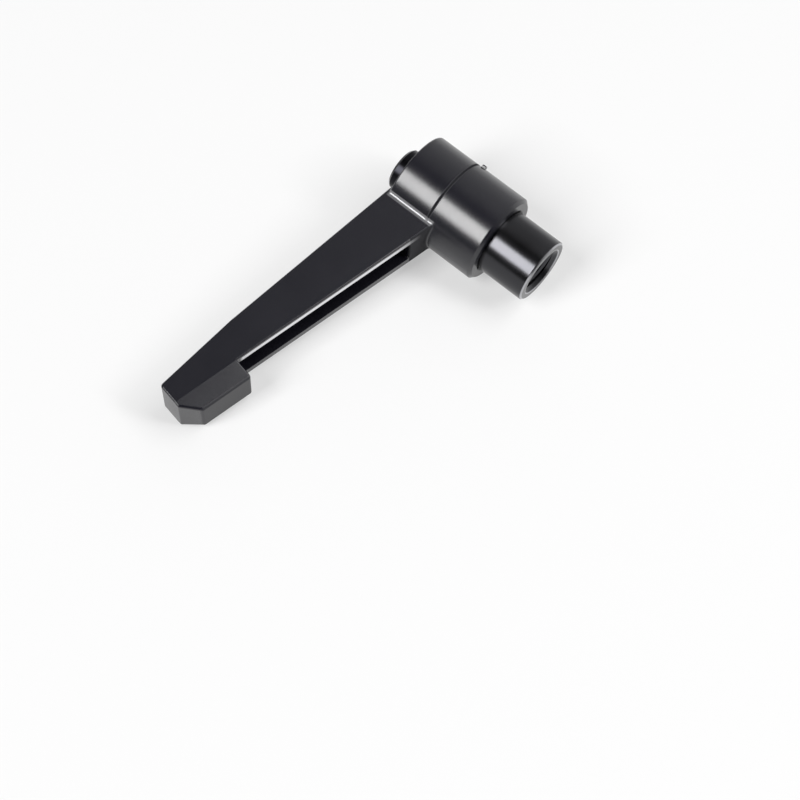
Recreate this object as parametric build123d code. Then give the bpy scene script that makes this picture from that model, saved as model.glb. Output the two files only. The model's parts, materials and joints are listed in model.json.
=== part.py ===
"""Adjustable clamping lever with an internal thread, size M10, lying on its side.

The lever is worked out standing on its thread: +Z runs up the hub's axis from the insert's
mouth, and the arm points along +X. lie_down() then turns every piece into the frame it is
written in: +Y out of the thread, +X along the arm, +Z up from the surface it lies on.
"""
from build123d import *
from math import asin, atan, cos, degrees, hypot, pi, radians, sin, tan
import os

# Threaded insert
insert_diameter = 16.0
insert_reach = 12.3          # how far the insert stands out of the hub
insert_cover = 10.7          # how far it goes up into the hub
insert_edge_chamfer = 0.4
stud_diameter = 10.0         # M10 stud
stud_clearance = 0.1         # radial room round a plain stud of that size
thread_depth = 15.0          # from the mouth, countersink included
countersink_diameter = 12.2
drill_point_angle = 31.0     # degrees from square, at the bottom of the thread

# Serration that couples the lever to the insert
tooth_count = 24
tooth_height = 0.9
tooth_length = 4.5
tooth_tip_share = 0.30       # of the pitch, at the tip
tooth_root_share = 0.58      # of the pitch, at the root
tooth_clearance = 0.12       # round every flank
tooth_end_gap = 0.3          # between the lever's teeth and the insert's shoulder
tooth_inset = 0.25           # tips of the insert's teeth lie this far below its outside

# Retaining screw: a shouldered cap screw
screw_head_diameter = 10.4
screw_head_height = 6.0
screw_head_proud = 3.8       # how far the head stands out of the hub
screw_head_chamfer = 0.6
screw_shoulder_diameter = 7.0
screw_thread_diameter = 6.0
screw_thread_length = 6.5
screw_thread_clearance = 0.05
screw_tip_chamfer = 0.6
hex_across_flats = 5.0
hex_depth = 3.0

# Spring under the screw's head
spring_wire = 1.0
spring_wire_sides = 6        # flats that stand for the round of the wire
spring_turns = 3.5
spring_shoulder_gap = 0.4    # between the wire and the screw's shoulder

# Hub
hub_diameter = 22.2
hub_height = 25.5
hub_top_rounding = 0.4
hub_back_rounding = 2.2      # where the top turns down, away from the arm
hub_back_margin = 0.3        # of that rounding beyond the hub's outside
hub_bottom_chamfer = 0.8
bore_clearance = 0.08
bore_edge_chamfer = 0.4
web_thickness = 2.0
web_hole_clearance = 0.25
pocket_clearance = 0.5
parting_height = 14.4        # above the hub's bottom
parting_groove_width = 0.7
parting_groove_depth = 0.4
gate_stub_angle = 154.0      # degrees round the hub from the arm
gate_stub_length = 1.6       # round the hub
gate_stub_height = 0.9       # along the hub
gate_stub_proud = 0.7
gate_stub_rounding = 0.25

# Arm
arm_length = 78.7            # hub axis to the top of the tip's end face
arm_root_width = 11.5        # at the hub's surface
arm_tip_width = 11.3
arm_root_rise = 0.95         # of the upper edge above the hub's top, at the hub's surface
arm_bend_to_tip = 21.7       # from the tip's end face back to where the upper edge bends down
arm_upper_slope = 5.3 / 45.9 # rise of the upper edge over its run, from hub to bend
arm_bend_to_tip_rise = 1.3   # how far the upper edge still rises from there to the tip
arm_root_depth = 13.45       # height of the side at the hub's surface
arm_tip_depth = 5.4          # height of the side at the tip
arm_edge_rounding = 0.5      # upper edges
rim_edge_rounding = 0.35     # lower outer edges, beside the channel
root_rounding = 0.8          # in the corner between hub and arm
tip_lean = 9.7               # degrees that the tip's end leans out at its foot
tip_rounding = 0.9           # upper edge of the tip

# Channel in the underside of the arm
channel_wall = 2.2
channel_roof = 2.4
channel_start = 15.5         # from the hub's axis
channel_rounding = 0.8       # between its sides and ends

# Grip at the tip
grip_length = 16.4           # along the arm's lower edge
grip_drop = 4.95             # below the arm's lower edge
grip_nose = 1.2              # how far the tip's end face goes below that edge
grip_corner = 3.15           # length cut off the corner between end face and underside
grip_facet = 1.2             # how far the long facets lean in at their foot
grip_inner_lean = 7.0        # degrees that the end towards the hub leans
grip_rounding = 0.7          # edges of the underside
grip_edge_rounding = 0.35    # the other edges

# Places that follow from the sizes
insert_top = insert_reach + insert_cover
hub_bottom = insert_reach
hub_top = hub_bottom + hub_height
hub_radius = hub_diameter / 2
parting = hub_bottom + parting_height
bore_radius = insert_diameter / 2 + bore_clearance
web_top = insert_top + web_thickness
arm_bend_place = arm_length - arm_bend_to_tip
arm_bend_rise = arm_root_rise + arm_upper_slope * (arm_bend_place - hub_radius)
arm_tip_rise = arm_bend_rise + arm_bend_to_tip_rise
shoulder_radius = screw_shoulder_diameter / 2
head_radius = screw_head_diameter / 2
head_top = hub_top + screw_head_proud
head_bottom = head_top - screw_head_height
spring_radius = shoulder_radius + spring_shoulder_gap + spring_wire / 2
pocket_radius = head_radius + pocket_clearance
thread_radius = stud_diameter / 2 + stud_clearance
countersink_depth = countersink_diameter / 2 - thread_radius
tooth_tip_radius = insert_diameter / 2 - tooth_inset
tooth_root_radius = tooth_tip_radius - tooth_height
tooth_bottom = insert_top - tooth_length
on_base = (Align.CENTER, Align.CENTER, Align.MIN)


def along_arm(x, at_root, at_tip):
    """A size that changes evenly from the hub's surface to the tip, at x."""
    return at_root + (at_tip - at_root) * (x - hub_radius) / (arm_length - hub_radius)


def top_height(x):
    """Height of the arm's upper edge at x, before or after its bend."""
    from_bend = x - arm_bend_place
    if from_bend < 0:
        slope = arm_upper_slope
    else:
        slope = arm_bend_to_tip_rise / arm_bend_to_tip
    return hub_top + arm_bend_rise + slope * from_bend


def low_height(x):
    """Height of the lower edge of the arm's sides at x."""
    return hub_top + along_arm(x, arm_root_rise - arm_root_depth, arm_tip_rise - arm_tip_depth)


def half_width(x):
    """Half of the arm's width at x."""
    return along_arm(x, arm_root_width, arm_tip_width) / 2


def cylinder_between(radius, bottom, top):
    """A cylinder on the hub's axis from one height to another."""
    return Pos(0, 0, bottom) * Cylinder(radius, top - bottom, align=on_base)


def ends_at(body, end):
    """The round edges of a turned body at its lowest (0) or highest (-1) height."""
    return body.edges().filter_by(GeomType.CIRCLE).group_by(Axis.Z)[end]


def tooth_ring(grow, bottom, top):
    """A prism with the outline of all the insert's teeth, grown by a clearance all round."""
    pitch = 2 * pi / tooth_count
    tip, root = tooth_tip_radius + grow, tooth_root_radius + grow
    half_tip = pitch * tooth_tip_share / 2 + grow / tip
    half_root = pitch * tooth_root_share / 2 + grow / root
    corners = []
    for index in range(tooth_count):
        for radius, turn in ((root, -half_root), (tip, -half_tip), (tip, half_tip), (root, half_root)):
            angle = index * pitch + turn
            corners.append((radius * cos(angle), radius * sin(angle)))
    return Pos(0, 0, bottom) * extrude(Polygon(*corners, align=None), amount=top - bottom)


def threaded_insert():
    """The steel bush: plain outside, teeth on its upper end, stepped hole right through."""
    plain = cylinder_between(insert_diameter / 2, 0, tooth_bottom)
    body = chamfer(ends_at(plain, 0), insert_edge_chamfer) + tooth_ring(0, tooth_bottom, insert_top)
    body -= cylinder_between(thread_radius, 0, thread_depth)
    body -= Cone(countersink_diameter / 2, thread_radius, countersink_depth, align=on_base)
    screw_hole_radius = screw_thread_diameter / 2 + screw_thread_clearance
    drill_point = (thread_radius - screw_hole_radius) * tan(radians(drill_point_angle))
    body -= Pos(0, 0, thread_depth) * Cone(thread_radius, screw_hole_radius, drill_point, align=on_base)
    body -= cylinder_between(screw_hole_radius, thread_depth, insert_top)
    return body


def retaining_screw():
    """The cap screw: its shoulder seats on the insert and its head holds the spring down."""
    head = cylinder_between(head_radius, head_bottom, head_top)
    head = chamfer(ends_at(head, -1), screw_head_chamfer)
    shoulder = cylinder_between(shoulder_radius, insert_top, head_bottom)
    shank = cylinder_between(screw_thread_diameter / 2, insert_top - screw_thread_length, insert_top)
    shank = chamfer(ends_at(shank, 0), screw_tip_chamfer)
    hexagon = RegularPolygon(hex_across_flats / 2, 6, major_radius=False)
    socket = Pos(0, 0, head_top - hex_depth) * extrude(hexagon, amount=hex_depth)
    return head + shoulder + shank - socket


def lift_spring():
    """The compression spring, its ends ground flat on the web and under the screw's head."""
    length = head_bottom - web_top
    coil = Helix(length / spring_turns, length, spring_radius)
    start = Plane(origin=coil @ 0, z_dir=coil % 0)
    section = start * RegularPolygon(spring_wire / 2, spring_wire_sides)
    wire = sweep(section, path=coil, is_frenet=True)
    room = cylinder_between(spring_radius + spring_wire, 0, length)
    return Pos(0, 0, web_top) * (wire & room)


def hub_blank():
    """The hub's outside: a round with a chamfered foot, its top turned down away from the arm."""
    side = hub_diameter + 2 * hub_back_margin
    room = Pos(0, 0, hub_bottom) * Box(side, side, hub_height, align=on_base)
    room = fillet(room.edges().group_by(Axis.Z)[-1].sort_by(Axis.X)[0], hub_back_rounding)
    blank = cylinder_between(hub_radius, hub_bottom, hub_top) & room
    round_edges = blank.edges().filter_by(GeomType.LINE, reverse=True).sort_by(Axis.Z)
    blank = fillet(round_edges[1:], hub_top_rounding)
    return chamfer(ends_at(blank, 0), hub_bottom_chamfer)


def parting_groove():
    """The fine groove round the hub at the parting line, which stops short of the arm."""
    half = parting_groove_width / 2
    section = Polygon(
        (hub_radius - parting_groove_depth, parting),
        (hub_radius + half, parting - half),
        (hub_radius + half, parting + half),
        align=None,
    )
    arm_room = Box(2 * hub_radius, arm_root_width + root_rounding, hub_height)
    return revolve(Plane.XZ * section, Axis.Z) - Pos(hub_radius, 0, parting) * arm_room


def gate_stub():
    """The broken-off gate of the casting, beside the parting line."""
    depth = gate_stub_proud + gate_stub_length
    stub = Box(2 * depth, gate_stub_length, gate_stub_height)
    stub = fillet(stub.faces().sort_by(Axis.X)[-1].edges(), gate_stub_rounding)
    height = parting - parting_groove_width - gate_stub_height / 2
    return Rot(0, 0, gate_stub_angle) * Pos(hub_radius + gate_stub_proud - depth, 0, height) * stub


def between_sides(profile, wall=0):
    """A side profile made solid between the arm's two sides, or between its walls' insides."""
    far = 1.1 * arm_length
    near_side, far_side = half_width(0) - wall, half_width(far) - wall
    plan = Polygon((0, -near_side), (far, -far_side), (far, far_side), (0, near_side), align=None)
    slab = extrude(Plane.XZ * profile, amount=arm_root_width, both=True)
    return slab & extrude(plan, amount=2 * top_height(far))


def edges_by(body, *points):
    """The edges of a body that run past the given points and past their mirror images."""
    found = []
    for point in points:
        for side in (1, -1) if point.Y else (1,):
            place = Vertex(point.X, side * point.Y, point.Z)
            found.append(body.edges().sort_by_distance(place)[0])
    return found


def tip_corner(x, drop):
    """A corner of the grip's outline on its long facet, at x and so far below the arm's edge."""
    return Vector(x, half_width(x) - grip_facet * drop / grip_drop, low_height(x) - drop)


def grip_outline():
    """One side's corners, round the grip from the arm's lower edge to the top of the tip."""
    lean, inner_lean = tan(radians(tip_lean)), tan(radians(grip_inner_lean))
    foot_x = arm_length + arm_tip_depth * lean
    nose_x = foot_x + grip_nose * lean
    neck_x = foot_x - grip_length
    return {
        "neck": tip_corner(neck_x, 0),
        "heel": tip_corner(neck_x + grip_drop * inner_lean, grip_drop),
        "toe": tip_corner(nose_x - grip_corner, grip_drop),
        "nose": tip_corner(nose_x, grip_nose),
        "foot": tip_corner(foot_x, 0),
        "top": Vector(arm_length, half_width(arm_length), top_height(arm_length)),
    }


def middle_of(corners, first, second):
    """The middle of the edge between two named corners."""
    return (corners[first] + corners[second]) / 2


def middle_line(corner):
    """The point of a crosswise edge that lies on the arm's middle plane."""
    return Vector(corner.X, 0, corner.Z)


def facet_cutter(side):
    """All that lies outside the long facet on one side of the grip."""
    hinge = Vector(0, side * half_width(0), low_height(0))
    along = Vector(arm_length, side * half_width(arm_length), low_height(arm_length)) - hinge
    down = Vector(0, -side * grip_facet, -grip_drop)
    plane = Plane(origin=hinge, x_dir=along, z_dir=along.cross(down) * side)
    return extrude(plane * Rectangle(4 * arm_length, 4 * arm_length), amount=arm_root_width)


def grip_block():
    """The solid end of the arm, which hangs below it, with long facets and a cut corner."""
    corners = grip_outline()
    neck_top = corners["neck"].X - (arm_root_depth - arm_tip_depth) * tan(radians(grip_inner_lean))
    outline = [(neck_top, top_height(neck_top))]
    outline += [(corner.X, corner.Z) for name, corner in corners.items() if name != "neck"]
    return between_sides(Polygon(*outline, align=None)) - facet_cutter(-1) - facet_cutter(1)


def channel():
    """The room of the open channel under the arm, which runs on into the grip."""
    end = arm_length - grip_length / 2
    profile = Polygon(
        (channel_start, low_height(channel_start) - arm_root_depth),
        (end, low_height(end) - arm_root_depth),
        (end, top_height(end) - channel_roof),
        (arm_bend_place, top_height(arm_bend_place) - channel_roof),
        (channel_start, top_height(channel_start) - channel_roof),
        align=None,
    )
    room = between_sides(profile, channel_wall)
    upright = room.edges().filter_by(Axis.Z).group_by(Axis.X)[0]
    return fillet(upright, channel_rounding)


def edge_middle(start, end):
    """The middle of the arm's upper edge between two places along it."""
    x = (start + end) / 2
    return Vector(x, half_width(x), top_height(x))


def rail():
    """The arm between hub and grip: a channel section with rounded lower edges."""
    end = arm_length - grip_length / 2
    middle = (channel_start + end) / 2
    profile = Polygon(
        (0, low_height(0)),
        (end, low_height(end)),
        (end, top_height(end)),
        (arm_bend_place, top_height(arm_bend_place)),
        (0, top_height(0)),
        align=None,
    )
    body = between_sides(profile)
    lower_edge = Vector(middle, half_width(middle), low_height(middle))
    return fillet(edges_by(body, lower_edge), rim_edge_rounding) - channel()


def arm():
    """The rail and the grip in one, with their upper edges, tip and underside rounded."""
    corners = grip_outline()
    body = rail() + grip_block()
    body = fillet(edges_by(body, middle_line(corners["top"])), tip_rounding)
    body = fillet(
        edges_by(
            body,
            edge_middle(hub_radius, arm_bend_place),
            edge_middle(arm_bend_place, arm_length),
            middle_of(corners, "foot", "top"),
            middle_of(corners, "nose", "foot"),
            middle_line(corners["nose"]),
        ),
        arm_edge_rounding,
    )
    body = fillet(
        edges_by(
            body,
            middle_of(corners, "heel", "toe"),
            middle_of(corners, "toe", "nose"),
            middle_line(corners["toe"]),
            middle_line(corners["heel"]),
        ),
        grip_rounding,
    )
    return fillet(edges_by(body, middle_of(corners, "neck", "heel")), grip_edge_rounding)


def lever():
    """The casting: hub, arm and grip in one, with the teeth and the spring's pocket inside."""
    hub, handle = hub_blank(), arm()
    body = hub + handle
    body = fillet(new_edges(hub, handle, combined=body), root_rounding)
    body = body - parting_groove() + gate_stub()
    tooth_start = tooth_bottom + tooth_end_gap
    bore = cylinder_between(bore_radius, hub_bottom, tooth_start)
    mouth = Cone(bore_radius + bore_edge_chamfer, bore_radius, bore_edge_chamfer, align=on_base)
    body -= bore + Pos(0, 0, hub_bottom) * mouth
    body -= tooth_ring(tooth_clearance, tooth_start, insert_top)
    body -= cylinder_between(shoulder_radius + web_hole_clearance, insert_top, web_top)
    return body - cylinder_between(pocket_radius, web_top, top_height(pocket_radius))


def lie_down():
    """The turn from standing on the thread to lying on the hub and the side of the tip."""
    rest = grip_outline()["foot"]
    roll = asin(hub_radius / hypot(rest.X, rest.Y)) - atan(rest.Y / rest.X)
    return Pos(0, countersink_depth, 0) * Rot(0, degrees(roll), 0) * Rot(90, 0, 0)


os.makedirs("parts", exist_ok=True)
pieces = {
    "lever": lever(),
    "threaded_insert": threaded_insert(),
    "retaining_screw": retaining_screw(),
    "lift_spring": lift_spring(),
}
for name, piece in pieces.items():
    export_step(lie_down() * piece, f"parts/{name}.step")
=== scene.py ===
"""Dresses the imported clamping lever: coat and steel finishes, thread, spring, studio and camera."""
import json
import math

import bmesh
import bpy
from bpy.props import FloatProperty, FloatVectorProperty, IntProperty, PointerProperty
from mathutils import Matrix, Vector


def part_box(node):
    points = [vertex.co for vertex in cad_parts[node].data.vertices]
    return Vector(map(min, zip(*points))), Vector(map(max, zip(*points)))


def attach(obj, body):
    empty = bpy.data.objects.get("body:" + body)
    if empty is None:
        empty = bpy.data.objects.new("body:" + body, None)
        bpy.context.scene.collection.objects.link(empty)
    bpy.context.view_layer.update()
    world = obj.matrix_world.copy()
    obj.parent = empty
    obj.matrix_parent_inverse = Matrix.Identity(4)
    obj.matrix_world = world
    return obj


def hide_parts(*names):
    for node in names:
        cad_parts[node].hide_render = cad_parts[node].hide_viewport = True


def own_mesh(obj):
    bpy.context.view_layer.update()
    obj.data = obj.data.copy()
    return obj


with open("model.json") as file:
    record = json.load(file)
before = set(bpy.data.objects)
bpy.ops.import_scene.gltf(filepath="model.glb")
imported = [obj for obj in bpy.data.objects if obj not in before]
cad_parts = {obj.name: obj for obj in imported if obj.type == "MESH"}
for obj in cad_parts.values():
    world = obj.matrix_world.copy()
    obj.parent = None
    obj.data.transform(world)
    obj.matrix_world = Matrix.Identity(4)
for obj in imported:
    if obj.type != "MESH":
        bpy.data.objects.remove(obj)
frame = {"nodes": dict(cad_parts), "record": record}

bl_info = {
    "name": "Clamping Lever Dressing",
    "version": (1, 0, 0),
    "blender": (4, 5, 0),
    "location": "View3D > Sidebar > Lever",
    "description": "Finishes, thread, spring and studio for an adjustable clamping lever",
    "category": "Object",
}

SPRING_LOW, SPRING_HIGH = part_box("lift_spring")
FLOOR_HEIGHT = min(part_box(name)[0].z for name in frame["nodes"])
THREAD_MOUNT = next(m for m in frame["record"]["mounts"] if m["name"] == "thread")
THREAD_WALL = THREAD_MOUNT["dims"]["r_mm"] / 1000
THREAD_LENGTH = THREAD_MOUNT["dims"]["length_mm"] / 1000
LIT_POINT = Vector((0, -0.02, 0))  # on the hub's axis; all the soft lights face it
CUTTER_OVERLAP = 0.002  # how far the countersink's cutter stands out of the thread's start
SMOOTH_ANGLE = math.radians(35)  # faces that meet at less than this are shaded as one
SAME_POINT = 1e-7  # points that lie closer than this are one
SLIVER = 2e-6  # edges shorter than this are dissolved


class ThreadSizes(bpy.types.PropertyGroup):
    """Sizes of the ridges in the insert's hole."""

    pitch: FloatProperty(
        name="Pitch", description="From one ridge to the next", default=0.0015, unit="LENGTH"
    )
    crest_radius: FloatProperty(
        name="Crest radius",
        description="Axis to the top of a ridge",
        default=0.00420,
        unit="LENGTH",
    )
    crest_share: FloatProperty(
        name="Crest share",
        description="Width of a ridge's flat top, as a share of its foot",
        default=0.22,
        subtype="FACTOR",
    )
    foot_share: FloatProperty(
        name="Foot share",
        description="Width of a ridge's foot, as a share of the pitch",
        default=0.92,
        subtype="FACTOR",
    )
    sink: FloatProperty(
        name="Sink",
        description="How far a ridge's foot goes into the wall",
        default=0.00006,
        unit="LENGTH",
    )
    steps: IntProperty(name="Steps", description="Steps in one turn", default=72)


class SpringSizes(bpy.types.PropertyGroup):
    """Sizes of the coil under the screw's head."""

    wire: FloatProperty(
        name="Wire", description="Diameter of the spring's wire", default=0.001, unit="LENGTH"
    )
    turns: FloatProperty(name="Turns", description="Turns between the ground ends", default=3.5)
    steps: IntProperty(name="Steps", description="Steps in one turn", default=36)
    shut: FloatProperty(
        name="Shut length",
        description="Length left when the lever is lifted, as a share of the free length",
        default=0.53,
        subtype="FACTOR",
    )


class CoatLook(bpy.types.PropertyGroup):
    """The powder coat on the casting."""

    colour: FloatVectorProperty(
        name="Colour",
        description="Colour of the coat",
        default=(0.0075, 0.0073, 0.0115),
        size=3,
        subtype="COLOR",
    )
    roughness: FloatProperty(
        name="Roughness", description="Middle roughness of the coat", default=0.25, subtype="FACTOR"
    )
    index: FloatProperty(name="Index", description="Index of refraction of the coat", default=1.6)
    grain: FloatProperty(
        name="Grain", description="Width of one grain of the coat", default=0.0003, unit="LENGTH"
    )
    relief: FloatProperty(
        name="Relief", description="Height of the grain", default=0.000006, unit="LENGTH"
    )


class SeamLook(bpy.types.PropertyGroup):
    """The dull line that the trimmed parting seam leaves round the hub, and how dull such coat is."""

    place: FloatProperty(
        name="Place",
        description="The seam's place along the hub's axis",
        default=-0.0257,
        unit="LENGTH",
    )
    width: FloatProperty(
        name="Width",
        description="Width of the dull line",
        default=0.0005,
        unit="LENGTH",
    )
    edge: FloatProperty(
        name="Edge",
        description="Width over which the dull line fades",
        default=0.0002,
        unit="LENGTH",
    )
    reach: FloatProperty(
        name="Reach",
        description="Distance from the hub's axis up to which it is dull",
        default=0.0113,
        unit="LENGTH",
    )
    roughness: FloatProperty(
        name="Roughness",
        description="Roughness of the dull line, and of the dull places on the arm's underside",
        default=0.85,
        subtype="FACTOR",
    )


class RimLook(bpy.types.PropertyGroup):
    """The arm's underside: a painted highlight in bright metal colour along the channel's rim, on the
    side that lies up, and in the corner by the hub; and duller coat.
    """

    # Painted highlight: this light metal colour stands in for the glint along the channel's rim and in
    # the corner by the hub.
    colour: FloatVectorProperty(
        name="Colour",
        description="Colour of the bare metal",
        default=(0.80, 0.80, 0.82),
        size=3,
        subtype="COLOR",
    )
    # Roughness of the painted highlight along the rim and in the corner.
    roughness: FloatProperty(
        name="Roughness", description="Roughness of the ground rim", default=0.38, subtype="FACTOR"
    )
    roll: FloatProperty(
        name="Roll",
        description="Turn of the lying arm about the hub's axis",
        default=math.radians(3.94),
        subtype="ANGLE",
    )
    start: FloatVectorProperty(
        name="Start",
        description="Where the rim starts: along the arm, along the hub's axis, out from the middle",
        default=(0.0111, -0.0243, 0.00420),
        size=3,
        subtype="XYZ",
    )
    slope: FloatProperty(
        name="Slope", description="Rise of the rim for each metre along the arm", default=0.2167
    )
    width: FloatProperty(
        name="Width",
        description="Width of the bare line",
        default=0.0011,
        unit="LENGTH",
    )
    length: FloatProperty(
        name="Length",
        description="Length of the bare line",
        default=0.0515,
        unit="LENGTH",
    )
    # Middle of the painted highlight in the corner fillet between hub and arm.
    corner: FloatVectorProperty(
        name="Corner",
        description="Middle of the bare corner between hub and arm, in the same directions",
        default=(0.0096, -0.0304, 0.0061),
        size=3,
        subtype="XYZ",
    )
    corner_share: FloatProperty(
        name="Corner share", description="How bare that corner is", default=0.30, subtype="FACTOR"
    )
    dull_length: FloatProperty(
        name="Dull length",
        description="Length of the dull underside between hub and channel",
        default=0.0044,
        unit="LENGTH",
    )
    sole_drop: FloatProperty(
        name="Sole drop",
        description="How far the grip's sole lies beyond the rim",
        default=0.00495,
        unit="LENGTH",
    )
    sole_start: FloatProperty(
        name="Sole start",
        description="Where the sole starts, from the hub's axis",
        default=0.056,
        unit="LENGTH",
    )
    sole_share: FloatProperty(
        name="Sole share", description="How dull the sole is", default=0.40, subtype="FACTOR"
    )


class SteelLook(bpy.types.PropertyGroup):
    """The blackened steel of the insert and the screw."""

    colour: FloatVectorProperty(
        name="Colour",
        description="Colour of the blackened steel",
        default=(0.050, 0.050, 0.054),
        size=3,
        subtype="COLOR",
    )
    roughness: FloatProperty(
        name="Roughness",
        description="Middle roughness of the steel",
        default=0.23,
        subtype="FACTOR",
    )
    marks: FloatProperty(
        name="Turning marks",
        description="Spacing of the marks of the lathe",
        default=0.00012,
        unit="LENGTH",
    )
    relief: FloatProperty(
        name="Relief",
        description="Height of the marks of the lathe",
        default=0.0000015,
        unit="LENGTH",
    )
    screw_colour: FloatVectorProperty(
        name="Screw colour",
        description="Colour of the screw",
        default=(0.016, 0.016, 0.019),
        size=3,
        subtype="COLOR",
    )
    # Painted highlight: this pale colour stands in for the glints on the edges of the insert's mouth.
    highlight_colour: FloatVectorProperty(
        name="Worn colour",
        description="Colour of the mouth's worn edges",
        default=(0.42, 0.42, 0.44),
        size=3,
        subtype="COLOR",
    )
    # The painted highlights on the mouth's edges start this far up the axis.
    highlight_from: FloatProperty(
        name="Worn from",
        description="Height on the axis above which the edges are worn",
        default=0.00065,
        unit="LENGTH",
    )
    outer_edge: FloatProperty(
        name="Outer edge",
        description="Radius of the mouth's outer edge",
        default=0.0077,
        unit="LENGTH",
    )
    inner_edge: FloatProperty(
        name="Inner edge",
        description="Radius of the countersink's edge",
        default=0.0061,
        unit="LENGTH",
    )
    screw_roughness: FloatProperty(
        name="Screw roughness",
        description="Middle roughness of the screw",
        default=0.28,
        subtype="FACTOR",
    )
    screw_marks: FloatProperty(
        name="Screw's turning marks",
        description="Spacing of the marks on the screw",
        default=0.00024,
        unit="LENGTH",
    )
    wire_colour: FloatVectorProperty(
        name="Wire colour",
        description="Colour of the spring's wire",
        default=(0.32, 0.32, 0.34),
        size=3,
        subtype="COLOR",
    )


class StudioLook(bpy.types.PropertyGroup):
    """Floor, light and camera."""

    floor_radius: FloatProperty(
        name="Floor radius",
        description="Radius of the floor",
        default=2.4,
        unit="LENGTH",
    )
    paper: FloatVectorProperty(
        name="Paper",
        description="Colour of the floor",
        default=(0.74, 0.74, 0.74),
        size=3,
        subtype="COLOR",
    )
    glow: FloatProperty(
        name="Even light",
        description="Share of the floor's own even white",
        default=0.45,
        subtype="FACTOR",
    )
    key_power: FloatProperty(
        name="Key power",
        description="Power of the strip light",
        default=35.0,
        unit="POWER",
    )
    key_bearing: FloatProperty(
        name="Key bearing",
        description="Lean of the strip light from straight up, towards the tip",
        default=math.radians(44.5),
        subtype="ANGLE",
    )
    key_distance: FloatProperty(
        name="Key distance", description="Strip light to hub", default=2.0, unit="LENGTH"
    )
    key_width: FloatProperty(
        name="Key width",
        description="Width of the strip light",
        default=1.2,
        unit="LENGTH",
    )
    key_length: FloatProperty(
        name="Key length", description="Length of the strip light", default=0.65, unit="LENGTH"
    )
    key_advance: FloatProperty(
        name="Key advance",
        description="Share of the strip light's direction that runs along the thread, out of the hole",
        default=-0.24,
    )
    front_power: FloatProperty(
        name="Front power",
        description="Power of the front strip",
        default=5.0,
        unit="POWER",
    )
    fill_power: FloatProperty(
        name="Fill power",
        description="Power of the front fill",
        default=6.0,
        unit="POWER",
    )
    sky_dark: FloatProperty(
        name="Sky's dark side",
        description="Strength of the sky towards the tip",
        default=0.05,
    )
    sky_light: FloatProperty(
        name="Sky's light side",
        description="Strength of the sky behind the hub",
        default=0.75,
    )
    view_bearing: FloatProperty(
        name="View bearing",
        description="Camera's turn round the object",
        default=math.radians(119.68),
        subtype="ANGLE",
    )
    view_height: FloatProperty(
        name="View height",
        description="Camera's angle above the horizon",
        default=math.radians(64.19),
        subtype="ANGLE",
    )
    view_tilt: FloatProperty(
        name="View tilt",
        description="Camera's turn about its own line of sight",
        default=math.radians(10.77),
        subtype="ANGLE",
    )
    view_distance: FloatProperty(
        name="View distance",
        description="Camera to the point it looks at",
        default=0.43313,
        unit="LENGTH",
    )
    view_point: FloatVectorProperty(
        name="View point",
        description="The point that the camera looks at",
        default=(0.04663, -0.00279, 0.0),
        size=3,
        subtype="XYZ",
    )
    focal_length: FloatProperty(
        name="Focal length",
        description="Lens, in millimetres",
        default=88.66,
    )


class LeverDressing(bpy.types.PropertyGroup):
    """All the settings of the dressing."""

    thread: PointerProperty(type=ThreadSizes)
    spring: PointerProperty(type=SpringSizes)
    coat: PointerProperty(type=CoatLook)
    seam: PointerProperty(type=SeamLook)
    rim: PointerProperty(type=RimLook)
    steel: PointerProperty(type=SteelLook)
    studio: PointerProperty(type=StudioLook)


def start_alone():
    """Leaves edit mode and deselects everything, so that an operator acts only on what is new."""
    if bpy.context.object and bpy.context.object.mode != "OBJECT":
        bpy.ops.object.mode_set(mode="OBJECT")
    bpy.ops.object.select_all(action="DESELECT")


def make_active(piece):
    """Selects one piece by itself."""
    start_alone()
    piece.select_set(True)
    bpy.context.view_layer.objects.active = piece


def name_new(name):
    """Names the primitive that was just added, and its mesh."""
    piece = bpy.context.object
    piece.name = piece.data.name = name
    return piece


def settle(piece):
    """Puts a piece's place, turn and size into its mesh."""
    make_active(piece)
    bpy.ops.object.transform_apply(location=True, rotation=True, scale=True)


def apply_modifier(piece, kind, **settings):
    """Adds a modifier with these settings and applies it."""
    make_active(piece)
    modifier = piece.modifiers.new(kind.title(), kind)
    for key, value in settings.items():
        setattr(modifier, key, value)
    bpy.ops.object.modifier_apply(modifier=modifier.name)


def select_where(piece, chosen):
    """In edit mode, selects the vertices for which chosen(place) is true."""
    shape = bmesh.from_edit_mesh(piece.data)
    bpy.ops.mesh.select_mode(type="VERT")
    for vertex in shape.verts:
        vertex.select_set(chosen(vertex.co))
    shape.select_flush(True)
    bmesh.update_edit_mesh(piece.data)


def close_ends(piece):
    """Fills the open ends of a swept piece and turns all its faces outwards."""
    make_active(piece)
    bpy.ops.object.mode_set(mode="EDIT")
    bpy.ops.mesh.select_all(action="SELECT")
    bpy.ops.mesh.remove_doubles(threshold=SAME_POINT)
    bpy.ops.mesh.fill_holes(sides=0)
    bpy.ops.mesh.normals_make_consistent(inside=False)
    bpy.ops.object.mode_set(mode="OBJECT")


def cut_flat(piece, place, outwards):
    """Cuts a piece off flat at a plane, on the side that the normal points to."""
    make_active(piece)
    bpy.ops.object.mode_set(mode="EDIT")
    bpy.ops.mesh.select_all(action="SELECT")
    bpy.ops.mesh.bisect(
        plane_co=place, plane_no=outwards, use_fill=True, clear_outer=True, threshold=SAME_POINT
    )
    bpy.ops.mesh.select_all(action="SELECT")
    bpy.ops.mesh.dissolve_degenerate(threshold=SLIVER)
    bpy.ops.object.mode_set(mode="OBJECT")


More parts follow.
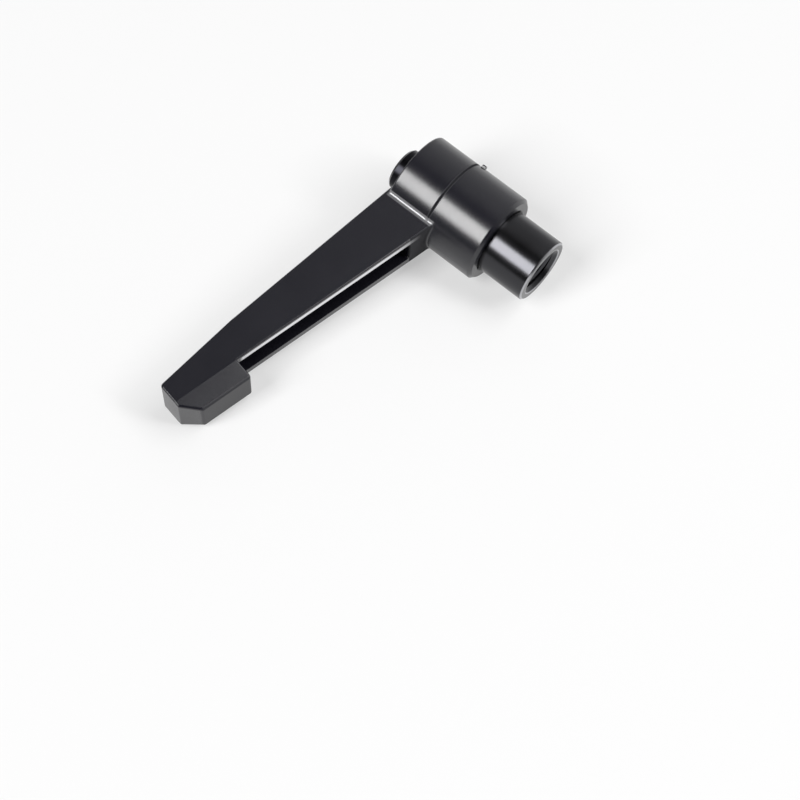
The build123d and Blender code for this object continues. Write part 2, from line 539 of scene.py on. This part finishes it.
def wind(profile, rise, turns, steps):
    """Sweeps a profile down the Y axis as a right-handed screw, so far in each turn, and closes it."""
    apply_modifier(
        profile,
        "SCREW",
        axis="Y",
        angle=-2 * math.pi,
        screw_offset=-rise,
        iterations=turns,
        steps=steps,
        render_steps=steps,
        use_merge_vertices=False,
    )
    close_ends(profile)


def smooth(piece):
    """Shades a piece smooth but for its sharp edges."""
    make_active(piece)
    bpy.ops.object.shade_smooth_by_angle(angle=SMOOTH_ANGLE)


def join(tree, source, target):
    """Links an output socket to an input socket."""
    tree.links.new(source, target)


def node(tree, kind, **settings):
    """Adds a shader node with these settings."""
    made = tree.nodes.new(kind)
    for key, value in settings.items():
        setattr(made, key, value)
    return made


def feed(tree, socket, value):
    """Links an input socket to another socket, or sets it to a plain number or colour."""
    if isinstance(value, bpy.types.NodeSocket):
        join(tree, value, socket)
    else:
        socket.default_value = value


def math_node(tree, operation, *values):
    """Adds a Math node fed by sockets or plain numbers, and gives its output."""
    made = node(tree, "ShaderNodeMath", operation=operation)
    for socket, value in zip(made.inputs, values):
        feed(tree, socket, value)
    return made.outputs[0]


def product(tree, first, *others):
    """Multiplies masks and numbers."""
    for other in others:
        first = math_node(tree, "MULTIPLY", first, other)
    return first


def larger(tree, first, second):
    """The larger of two masks at each place."""
    return math_node(tree, "MAXIMUM", first, second)


def blend(tree, kind, mask, first, second):
    """Mixes two numbers (FLOAT) or colours (RGBA); where the mask is 1, the second one shows."""
    mix = node(tree, "ShaderNodeMix", data_type=kind)
    for name, value in (("Factor", mask), ("A", first), ("B", second)):
        feed(tree, mix.inputs[name], value)
    return mix.outputs["Result"]


def axes(tree, place):
    """The three parts of a place."""
    parts = node(tree, "ShaderNodeSeparateXYZ")
    join(tree, place, parts.inputs[0])
    return parts.outputs["X"], parts.outputs["Y"], parts.outputs["Z"]


def round_axis(tree, place):
    """A place's distance from the hub's axis, and its height along that axis."""
    across, height, upward = axes(tree, place)
    squares = math_node(tree, "ADD", product(tree, across, across), product(tree, upward, upward))
    return math_node(tree, "SQRT", squares), height


def new_group(name, inputs, outputs):
    """An empty shader node group with named sockets, its inner input and its inner output."""
    group = bpy.data.node_groups.new(name, "ShaderNodeTree")
    for socket_name, kind, value in inputs:
        socket = group.interface.new_socket(socket_name, in_out="INPUT", socket_type=kind)
        if value is not None:
            socket.default_value = value
    for socket_name, kind in outputs:
        group.interface.new_socket(socket_name, in_out="OUTPUT", socket_type=kind)
    return group, node(group, "NodeGroupInput"), node(group, "NodeGroupOutput")


def fine_grain():
    """Node group: the fine pebbled grain of a coat, with broad soft patches where hands rub it."""
    name = "fine_grain"
    if name in bpy.data.node_groups:
        return bpy.data.node_groups[name]
    group, given, out = new_group(
        name,
        [
            ("Place", "NodeSocketVector", None),
            ("Grains per metre", "NodeSocketFloat", 3000.0),
            ("Roughness", "NodeSocketFloat", 0.3),
            ("Spread", "NodeSocketFloat", 0.05),
        ],
        [
            ("Height", "NodeSocketFloat"),
            ("Roughness", "NodeSocketFloat"),
            ("Patches", "NodeSocketFloat"),
        ],
    )
    grain = node(group, "ShaderNodeTexNoise")
    grain.inputs["Detail"].default_value = 2.0
    join(group, given.outputs["Place"], grain.inputs["Vector"])
    join(group, given.outputs["Grains per metre"], grain.inputs["Scale"])
    patches = node(group, "ShaderNodeTexNoise")
    patches.inputs["Scale"].default_value = 110.0
    patches.inputs["Detail"].default_value = 3.0
    join(group, given.outputs["Place"], patches.inputs["Vector"])
    centred = math_node(group, "SUBTRACT", patches.outputs[0], 0.5)
    swing = product(group, centred, given.outputs["Spread"])
    join(group, math_node(group, "ADD", given.outputs["Roughness"], swing), out.inputs["Roughness"])
    join(group, grain.outputs[0], out.inputs["Height"])
    join(group, patches.outputs[0], out.inputs["Patches"])
    return group


def lathe_marks():
    """Node group: fine rings round the Y axis, as a lathe leaves on a turned side or face."""
    name = "lathe_marks"
    if name in bpy.data.node_groups:
        return bpy.data.node_groups[name]
    group, given, out = new_group(
        name,
        [("Place", "NodeSocketVector", None), ("Marks per metre", "NodeSocketFloat", 8000.0)],
        [("Height", "NodeSocketFloat")],
    )
    radius, height = round_axis(group, given.outputs["Place"])
    line = math_node(group, "ADD", radius, height)
    marks = node(group, "ShaderNodeTexNoise", noise_dimensions="1D")
    marks.inputs["Detail"].default_value = 3.0
    join(group, line, marks.inputs["W"])
    join(group, given.outputs["Marks per metre"], marks.inputs["Scale"])
    join(group, marks.outputs[0], out.inputs["Height"])
    return group


def new_material(name):
    """A material with a Principled shader, and its node tree, shader and place on the object."""
    material = bpy.data.materials.new(name)
    material.use_nodes = True
    tree = material.node_tree
    shader = next(n for n in tree.nodes if n.type == "BSDF_PRINCIPLED")
    place = node(tree, "ShaderNodeTexCoord").outputs["Object"]
    return material, tree, shader, place


def grained(tree, place, grains, roughness, spread):
    """Places the fine grain in a material: grains per metre, middle roughness and its spread."""
    grain = node(tree, "ShaderNodeGroup", node_tree=fine_grain())
    join(tree, place, grain.inputs["Place"])
    grain.inputs["Grains per metre"].default_value = grains
    grain.inputs["Roughness"].default_value = roughness
    grain.inputs["Spread"].default_value = spread
    return grain


def mottled(tree, mask, colour, share):
    """A colour that varies with a mask, by the given share to the dark and to the light."""
    dark, light = (tuple(part * scale for part in colour) for scale in (1 - share, 1 + share))
    return blend(tree, "RGBA", mask, (*dark, 1), (*light, 1))


def raised(tree, shader, height, relief):
    """Feeds a height to the shader's normal, so many metres high."""
    bump = node(tree, "ShaderNodeBump")
    bump.inputs["Strength"].default_value = 1.0
    bump.inputs["Distance"].default_value = relief
    join(tree, height, bump.inputs["Height"])
    join(tree, bump.outputs["Normal"], shader.inputs["Normal"])


def step_up(tree, value, start, end):
    """A mask that goes smoothly from 0 to 1 while the value goes from start to end."""
    step = node(tree, "ShaderNodeMapRange", interpolation_type="SMOOTHSTEP")
    step.inputs["From Min"].default_value = start
    step.inputs["From Max"].default_value = end
    join(tree, value, step.inputs["Value"])
    return step.outputs["Result"]


def within(tree, value, middle, reach, soft):
    """A mask that is 1 up to a reach on both sides of a middle, and fades to 0 over a soft edge."""
    off = math_node(tree, "ABSOLUTE", math_node(tree, "SUBTRACT", value, middle))
    return step_up(tree, off, reach + soft, reach)


def arm_masks(tree, place, rim):
    """Two masks: a painted highlight along the rim and in the corner by the hub, and dull coat on the
    underside and the sole.
    """
    laid = node(tree, "ShaderNodeMapping")
    laid.inputs["Rotation"].default_value = (0, -rim.roll, 0)
    join(tree, place, laid.inputs["Vector"])
    along, height, out = axes(tree, laid.outputs["Vector"])
    start_along, start_height, start_out = rim.start
    past = math_node(tree, "SUBTRACT", along, start_along)
    level = math_node(tree, "ADD", height, product(tree, past, rim.slope))
    # Painted highlight along the channel's rim, on the side that lies up.
    line = product(
        tree,
        within(tree, level, start_height, reach=0.0001, soft=0.0002),
        within(tree, out, start_out, reach=rim.width / 2, soft=0.0003),
        step_up(tree, past, start=0.001, end=0.009),
        step_up(tree, past, start=rim.length, end=rim.length - 0.001),
    )
    # Painted highlight in the corner fillet between hub and arm, at a share of full strength.
    corner = product(
        tree,
        within(tree, along, rim.corner[0], reach=0.0005, soft=0.0003),
        within(tree, height, rim.corner[1], reach=0.0060, soft=0.0008),
        within(tree, out, rim.corner[2], reach=0.0002, soft=0.0003),
        rim.corner_share,
    )
    under = product(
        tree,
        within(tree, level, start_height, reach=0.0003, soft=0.0002),
        step_up(tree, past, start=rim.dull_length + 0.0003, end=rim.dull_length),
        step_up(tree, round_axis(tree, place)[0], start=start_along, end=start_along + 0.0002),
    )
    sole_height = start_height + rim.sole_drop
    sole = product(
        tree,
        step_up(tree, level, start=sole_height - 0.0007, end=sole_height - 0.0002),
        step_up(tree, along, start=rim.sole_start - 0.001, end=rim.sole_start),
        rim.sole_share,
    )
    return larger(tree, line, corner), larger(tree, under, sole)


def seam_mask(tree, place, seam):
    """1 on the dull line round the hub beside the parting groove, 0 elsewhere."""
    radius, height = round_axis(tree, place)
    line = within(tree, height, seam.place, reach=seam.width / 2, soft=seam.edge)
    return product(tree, line, step_up(tree, radius, start=seam.reach + seam.edge, end=seam.reach))


def mouth_highlight_mask(tree, place, look):
    """1 on the painted highlight lines along the outer edge and the countersink's edge of the insert's
    mouth, 0 elsewhere.
    """
    radius, height = round_axis(tree, place)
    outer = within(tree, radius, look.outer_edge, reach=0.00015, soft=0.0001)
    inner = within(tree, radius, look.inner_edge, reach=0.00008, soft=0.0001)
    above = step_up(tree, height, start=look.highlight_from, end=look.highlight_from + 0.0001)
    return product(tree, larger(tree, outer, inner), above)


def powder_coat(look, seam, rim):
    """Satin black powder coat, dull on seam and underside, with a painted highlight in bright metal
    colour along the channel's rim and in the corner by the hub.
    """
    material, tree, shader, place = new_material("powder_coat")
    grain = grained(tree, place, grains=1 / look.grain, roughness=look.roughness, spread=0.10)
    painted_highlight, dull = arm_masks(tree, place, rim)
    dull = larger(tree, dull, seam_mask(tree, place, seam))
    colour = mottled(tree, grain.outputs["Patches"], look.colour, share=0.12)
    # Painted highlight: bright metal colour, metallic and its own roughness where the highlight mask is
    # 1.
    colour = blend(tree, "RGBA", painted_highlight, colour, (*rim.colour, 1))
    roughness = blend(tree, "FLOAT", painted_highlight, grain.outputs["Roughness"], rim.roughness)
    roughness = blend(tree, "FLOAT", dull, roughness, seam.roughness)
    join(tree, colour, shader.inputs["Base Color"])
    join(tree, roughness, shader.inputs["Roughness"])
    join(tree, painted_highlight, shader.inputs["Metallic"])
    raised(tree, shader, grain.outputs["Height"], look.relief)
    shader.inputs["IOR"].default_value = look.index
    return material


def blackened_steel(look, name, colour, roughness, marks, painted_highlit=False):
    """Turned steel under a black finish, with painted highlights in a pale colour on the edges of the
    insert's mouth if asked.
    """
    material, tree, shader, place = new_material(name)
    grain = grained(tree, place, grains=5000.0, roughness=roughness, spread=0.12)
    rings = node(tree, "ShaderNodeGroup", node_tree=lathe_marks())
    rings.inputs["Marks per metre"].default_value = 1 / marks
    join(tree, place, rings.inputs["Place"])
    finish = mottled(tree, grain.outputs["Patches"], colour, share=0.15)
    # Painted highlights: pale colour on the mouth's outer edge and the countersink's edge.
    if painted_highlit:
        finish = blend(tree, "RGBA", mouth_highlight_mask(tree, place, look), finish, (*look.highlight_colour, 1))
    join(tree, finish, shader.inputs["Base Color"])
    join(tree, grain.outputs["Roughness"], shader.inputs["Roughness"])
    raised(tree, shader, rings.outputs["Height"], look.relief)
    shader.inputs["Metallic"].default_value = 1.0
    return material


def insert_steel(look, name, painted_highlit=False):
    """The steel of the insert and its thread."""
    return blackened_steel(look, name, look.colour, look.roughness, look.marks, painted_highlit)


def screw_steel(look, name):
    """The darker and duller steel of the screw."""
    return blackened_steel(look, name, look.screw_colour, look.screw_roughness, look.screw_marks)


def spring_wire(look):
    """Bright drawn wire with a film of oil."""
    material, tree, shader, place = new_material("spring_wire")
    grain = grained(tree, place, grains=6000.0, roughness=0.32, spread=0.10)
    colour = mottled(tree, grain.outputs["Patches"], look.wire_colour, share=0.20)
    join(tree, colour, shader.inputs["Base Color"])
    join(tree, grain.outputs["Roughness"], shader.inputs["Roughness"])
    shader.inputs["Metallic"].default_value = 1.0
    return material


def paper_floor(look):
    """Matt pale paper with a share of even white, which still takes a shadow."""
    material = bpy.data.materials.new("pale_paper")
    material.use_nodes = True
    tree = material.node_tree
    tree.nodes.clear()
    matt = node(tree, "ShaderNodeBsdfDiffuse")
    matt.inputs["Color"].default_value = (*look.paper, 1)
    glow = node(tree, "ShaderNodeEmission")
    rays = node(tree, "ShaderNodeLightPath")
    seen = larger(tree, rays.outputs["Is Camera Ray"], rays.outputs["Is Glossy Ray"])
    seen = larger(tree, seen, rays.outputs["Is Transmission Ray"])
    mix = node(tree, "ShaderNodeMixShader")
    join(tree, product(tree, seen, look.glow), mix.inputs[0])
    join(tree, matt.outputs[0], mix.inputs[1])
    join(tree, glow.outputs[0], mix.inputs[2])
    join(tree, mix.outputs[0], node(tree, "ShaderNodeOutputMaterial").inputs["Surface"])
    return material


def dress(piece, material):
    """Gives a piece one material."""
    piece.data.materials.clear()
    piece.data.materials.append(material)


class LEVER_OT_coat(bpy.types.Operator):
    """Coats the casting: hub, arm and grip"""

    bl_idname = "lever.coat"
    bl_label = "Coat the casting"

    def execute(self, context):
        looks = context.scene.lever_dressing
        dress(frame["nodes"]["lever"], powder_coat(looks.coat, looks.seam, looks.rim))
        return {"FINISHED"}


class LEVER_OT_blacken(bpy.types.Operator):
    """Blackens the insert and the screw"""

    bl_idname = "lever.blacken"
    bl_label = "Blacken the steel"

    def execute(self, context):
        look = context.scene.lever_dressing.steel
        # The insert gets painted highlights on the edges of its mouth.
        dress(frame["nodes"]["threaded_insert"], insert_steel(look, "blackened_insert", painted_highlit=True))
        dress(frame["nodes"]["retaining_screw"], screw_steel(look, "blackened_screw"))
        return {"FINISHED"}


class LEVER_OT_thread(bpy.types.Operator):
    """Cuts the thread: one ridge that winds up the insert's hole from its countersink"""

    bl_idname = "lever.thread"
    bl_label = "Cut the thread"

    def execute(self, context):
        sizes = context.scene.lever_dressing.thread
        foot_radius = THREAD_WALL + sizes.sink
        depth = foot_radius - sizes.crest_radius
        start_alone()
        bpy.ops.mesh.primitive_plane_add(size=depth, location=(foot_radius - depth / 2, 0, 0))
        ridge = name_new("thread_ridges")
        settle(ridge)
        bpy.ops.object.mode_set(mode="EDIT")
        widen = sizes.pitch * sizes.foot_share / depth
        bpy.ops.mesh.select_all(action="SELECT")
        bpy.ops.transform.resize(value=(1, widen, 1), center_override=(0, 0, 0))
        select_where(ridge, lambda co: co.x < foot_radius - depth / 2)
        bpy.ops.transform.resize(value=(1, sizes.crest_share, 1), center_override=(0, 0, 0))
        bpy.ops.object.mode_set(mode="OBJECT")
        wind(ridge, sizes.pitch, math.ceil(THREAD_LENGTH / sizes.pitch), sizes.steps)
        cutter = THREAD_WALL + CUTTER_OVERLAP
        start_alone()
        bpy.ops.mesh.primitive_cone_add(
            vertices=sizes.steps,
            radius1=cutter,
            radius2=0,
            depth=cutter,
            location=(0, CUTTER_OVERLAP - cutter / 2, 0),
            rotation=(math.radians(90), 0, 0),
        )
        countersink = name_new("countersink_cutter")
        apply_modifier(ridge, "BOOLEAN", operation="DIFFERENCE", object=countersink, solver="EXACT")
        bpy.data.objects.remove(countersink)
        cut_flat(ridge, (0, -THREAD_LENGTH, 0), (0, -1, 0))
        smooth(ridge)
        look = context.scene.lever_dressing.steel
        dress(ridge, insert_steel(look, "blackened_thread"))
        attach(ridge, "insert")
        return {"FINISHED"}


class LEVER_OT_spring(bpy.types.Operator):
    """Winds the spring of round wire between the web and the screw's head, with ends ground flat"""

    bl_idname = "lever.spring"
    bl_label = "Wind the spring"

    def execute(self, context):
        sizes = context.scene.lever_dressing.spring
        length = SPRING_HIGH.y - SPRING_LOW.y
        pitch = length / sizes.turns
        start_alone()
        bpy.ops.mesh.primitive_circle_add(
            vertices=16,
            radius=sizes.wire / 2,
            fill_type="NOTHING",
            location=(SPRING_HIGH.x - sizes.wire / 2, SPRING_HIGH.y + pitch / 2, 0),
        )
        coil = name_new("spring_coil")
        settle(coil)
        wind(coil, pitch, math.ceil(sizes.turns) + 1, sizes.steps)
        cut_flat(coil, SPRING_HIGH, (0, 1, 0))
        cut_flat(coil, SPRING_LOW, (0, -1, 0))
        smooth(coil)
        dress(coil, spring_wire(context.scene.lever_dressing.steel))
        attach(coil, "spring")
        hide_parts("lift_spring")
        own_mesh(coil)
        return {"FINISHED"}


def soft_box(name, towards, distance, size, power):
    """An oblong area light that faces the hub; its two sizes lie across the hub's axis and along it."""
    start_alone()
    back = Vector(towards).normalized()
    along = (Vector((0, 1, 0)) - back * back.y).normalized()
    turn = Matrix((along.cross(back), along, back)).transposed()
    bpy.ops.object.light_add(
        type="AREA", location=LIT_POINT + back * distance, rotation=turn.to_euler()
    )
    light = bpy.context.object
    light.name = light.data.name = name
    light.data.shape = "RECTANGLE"
    light.data.size, light.data.size_y = size
    light.data.energy = power


class LEVER_OT_studio(bpy.types.Operator):
    """Lays the pale floor and sets up the soft lights, the sky and the camera"""

    bl_idname = "lever.studio"
    bl_label = "Set up the studio"

    def execute(self, context):
        look = context.scene.lever_dressing.studio
        self.lay_floor(look)
        self.set_lights(look)
        self.set_sky(context.scene, look)
        self.set_camera(context.scene, look)
        context.scene.view_settings.view_transform = "Standard"
        return {"FINISHED"}

    def lay_floor(self, look):
        """Lays the round floor that the lever rests on"""
        start_alone()
        bpy.ops.mesh.primitive_circle_add(
            vertices=96, radius=look.floor_radius, fill_type="NGON", location=(0, 0, FLOOR_HEIGHT)
        )
        floor = name_new("studio_floor")
        settle(floor)
        dress(floor, paper_floor(look))

    def set_lights(self, look):
        """Sets the strip light above the tip and two smaller lights in front of the mouth"""
        across = math.sqrt(1 - look.key_advance**2)
        lean = look.key_bearing
        soft_box(
            "key_strip",
            towards=(across * math.sin(lean), look.key_advance, across * math.cos(lean)),
            distance=look.key_distance,
            size=(look.key_width, look.key_length),
            power=look.key_power,
        )
        soft_box(
            "front_strip",
            towards=(-0.30, 0.65, 0.70),
            distance=1.2,
            size=(0.25, 0.42),
            power=look.front_power,
        )
        soft_box(
            "front_fill",
            towards=(-0.36, 0.26, 0.90),
            distance=1.3,
            size=(0.70, 0.80),
            power=look.fill_power,
        )

    def set_sky(self, scene, look):
        """Makes a grey sky that is dark towards the tip and light behind the hub"""
        sky = bpy.data.worlds.new("studio_sky")
        sky.use_nodes = True
        tree = sky.node_tree
        background = next(n for n in tree.nodes if n.type == "BACKGROUND")
        towards_tip = axes(tree, node(tree, "ShaderNodeTexCoord").outputs["Generated"])[0]
        light = node(tree, "ShaderNodeMapRange")
        light.inputs["From Min"].default_value = 0.0
        light.inputs["From Max"].default_value = -1.0
        light.inputs["To Min"].default_value = look.sky_dark
        light.inputs["To Max"].default_value = look.sky_light
        join(tree, towards_tip, light.inputs["Value"])
        join(tree, light.outputs["Result"], background.inputs["Color"])
        scene.world = sky

    def set_camera(self, scene, look):
        """Sets the camera so that it looks at the view point from its distance"""
        turn = (
            Matrix.Rotation(look.view_bearing, 3, "Z")
            @ Matrix.Rotation(math.pi / 2 - look.view_height, 3, "X")
            @ Matrix.Rotation(look.view_tilt, 3, "Z")
        )
        place = Vector(look.view_point) + turn @ Vector((0, 0, look.view_distance))
        start_alone()
        bpy.ops.object.camera_add(location=place, rotation=turn.to_euler())
        camera = bpy.context.object
        camera.name = camera.data.name = "studio_camera"
        camera.data.sensor_width = 36
        camera.data.lens = look.focal_length
        camera.data.clip_start = 0.01
        camera.data.clip_end = 20
        scene.camera = camera


class LEVER_PT_dressing(bpy.types.Panel):
    """The steps of the dressing, in order"""

    bl_label = "Clamping lever"
    bl_idname = "LEVER_PT_dressing"
    bl_space_type = "VIEW_3D"
    bl_region_type = "UI"
    bl_category = "Lever"

    def draw(self, context):
        settings = context.scene.lever_dressing
        for operator, parts in (
            (LEVER_OT_coat, (settings.coat, settings.seam, settings.rim)),
            (LEVER_OT_blacken, (settings.steel,)),
            (LEVER_OT_thread, (settings.thread,)),
            (LEVER_OT_spring, (settings.spring,)),
            (LEVER_OT_studio, (settings.studio,)),
        ):
            box = self.layout.box()
            box.operator(operator.bl_idname)
            for part in parts:
                for name in part.__annotations__:
                    box.prop(part, name)


CLASSES = (
    ThreadSizes,
    SpringSizes,
    CoatLook,
    SeamLook,
    RimLook,
    SteelLook,
    StudioLook,
    LeverDressing,
    LEVER_OT_coat,
    LEVER_OT_blacken,
    LEVER_OT_thread,
    LEVER_OT_spring,
    LEVER_OT_studio,
    LEVER_PT_dressing,
)


def register():
    for cls in CLASSES:
        bpy.utils.register_class(cls)
    bpy.types.Scene.lever_dressing = PointerProperty(type=LeverDressing)


def unregister():
    del bpy.types.Scene.lever_dressing
    for cls in reversed(CLASSES):
        bpy.utils.unregister_class(cls)


def main():
    """Dresses the lever in order."""
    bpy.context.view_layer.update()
    register()
    bpy.ops.lever.coat()
    bpy.ops.lever.blacken()
    bpy.ops.lever.thread()
    bpy.ops.lever.spring()
    bpy.ops.lever.studio()


if __name__ == "__main__":
    main()
